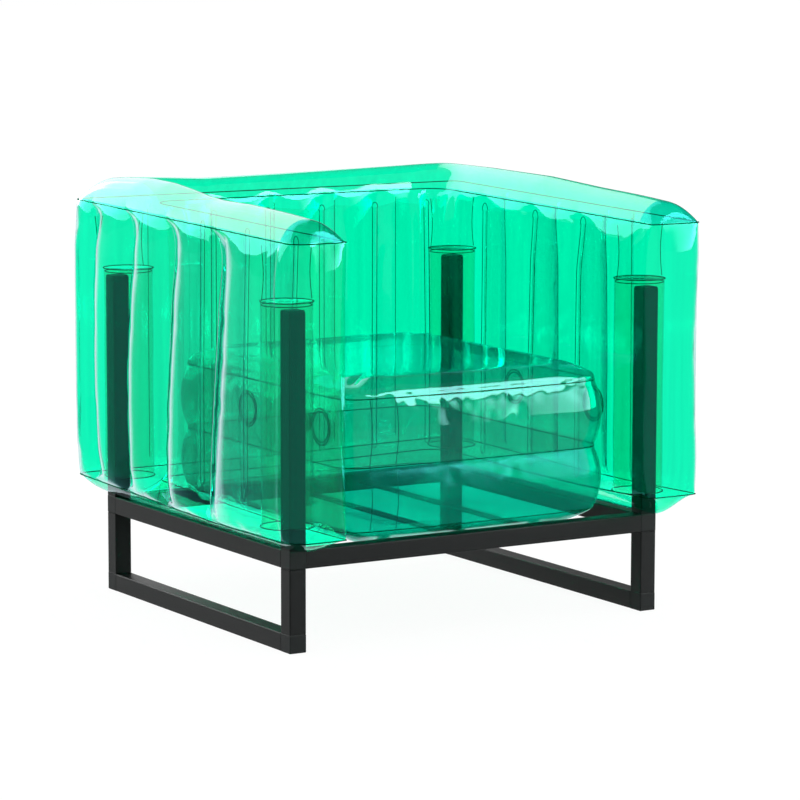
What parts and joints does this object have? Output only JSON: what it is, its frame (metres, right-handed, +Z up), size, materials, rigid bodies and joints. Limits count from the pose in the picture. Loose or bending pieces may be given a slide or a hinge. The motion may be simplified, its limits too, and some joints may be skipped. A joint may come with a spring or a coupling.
{
  "type": "inflatable lounge chair",
  "caption": "Square armchair of clear green inflated film, with a boxed arms-and-back shell and a thick seat cushion, slipped over posts on a low dark square-tube frame.",
  "frame": {"origin": "on the floor, under the middle of the overall box", "axes": "+Z up, -Y towards the open front, +X towards the right as seen from the front; left in a node's name is -X and front is -Y"},
  "size_m": [0.844, 0.826, 0.7592],
  "materials": {
    "frame_tube": "fine textured anthracite powder coat",
    "frame_block": "anthracite powder coat on a cast corner",
    "seat_slat": "anthracite powder coat on flat bar",
    "post_plug": "moulded black plug",
    "frame_screw": "black oxide",
    "body_film": "clear green calendered film",
    "web_film": "clear green calendered film",
    "seat_film": "clear green calendered film",
    "sleeve_film": "clear green thin film",
    "disc_film": "clear green welded patch",
    "valve_plastic": "soft clear moulding"
  },
  "bodies": {
    "chair": {"back_and_arms": "body_film", "cross_rail_front": "frame_tube", "cross_rail_rear": "frame_tube", "foot_block_left_front": "frame_block", "foot_block_left_rear": "frame_block", "foot_block_right_front": "frame_block", "foot_block_right_rear": "frame_block", "leg_left_front": "frame_tube", "leg_left_rear": "frame_tube", "leg_right_front": "frame_tube", "leg_right_rear": "frame_tube", "post_cap_left_front": "post_plug", "post_cap_left_rear": "post_plug", "post_cap_right_front": "post_plug", "post_cap_right_rear": "post_plug", "post_left_front": "frame_tube", "post_left_rear": "frame_tube", "post_right_front": "frame_tube", "post_right_rear": "frame_tube", "post_screw_left_front": "frame_screw", "post_screw_left_rear": "frame_screw", "post_screw_right_front": "frame_screw", "post_screw_right_rear": "frame_screw", "rail_screw_left_front": "frame_screw", "rail_screw_left_rear": "frame_screw", "rail_screw_right_front": "frame_screw", "rail_screw_right_rear": "frame_screw", "seat_cushion": "seat_film", "seat_disc_left_front": "disc_film", "seat_disc_left_rear": "disc_film", "seat_disc_right_front": "disc_film", "seat_disc_right_rear": "disc_film", "side_rail_left": "frame_tube", "side_rail_right": "frame_tube", "skid_left": "frame_tube", "skid_right": "frame_tube", "slat_left": "seat_slat", "slat_middle": "seat_slat", "slat_right": "seat_slat", "sleeve_left_front": "sleeve_film", "sleeve_left_rear": "sleeve_film", "sleeve_right_front": "sleeve_film", "sleeve_right_rear": "sleeve_film", "top_block_left_front": "frame_block", "top_block_left_rear": "frame_block", "top_block_right_front": "frame_block", "top_block_right_rear": "frame_block", "valve_stem_back": "valve_plastic", "valve_stem_seat": "valve_plastic", "web_back": "web_film", "web_left": "web_film", "web_right": "web_film"},
    "back_stopper": {"valve_stopper_back": "valve_plastic"},
    "seat_stopper": {"valve_stopper_seat": "valve_plastic"}
  },
  "joints": [
    {"name": "back_stopper_hinge", "type": "hinge", "parent": "chair", "child": "back_stopper", "pos_m": [0.07164, 0.4114, 0.284], "axis": [1, 0, 0], "range_deg": [0, 130]},
    {"name": "seat_stopper_hinge", "type": "hinge", "parent": "chair", "child": "seat_stopper", "pos_m": [-0.0775, 0.15934, 0.1619], "axis": [1, 0, 0], "range_deg": [0, 120]}
  ]
}
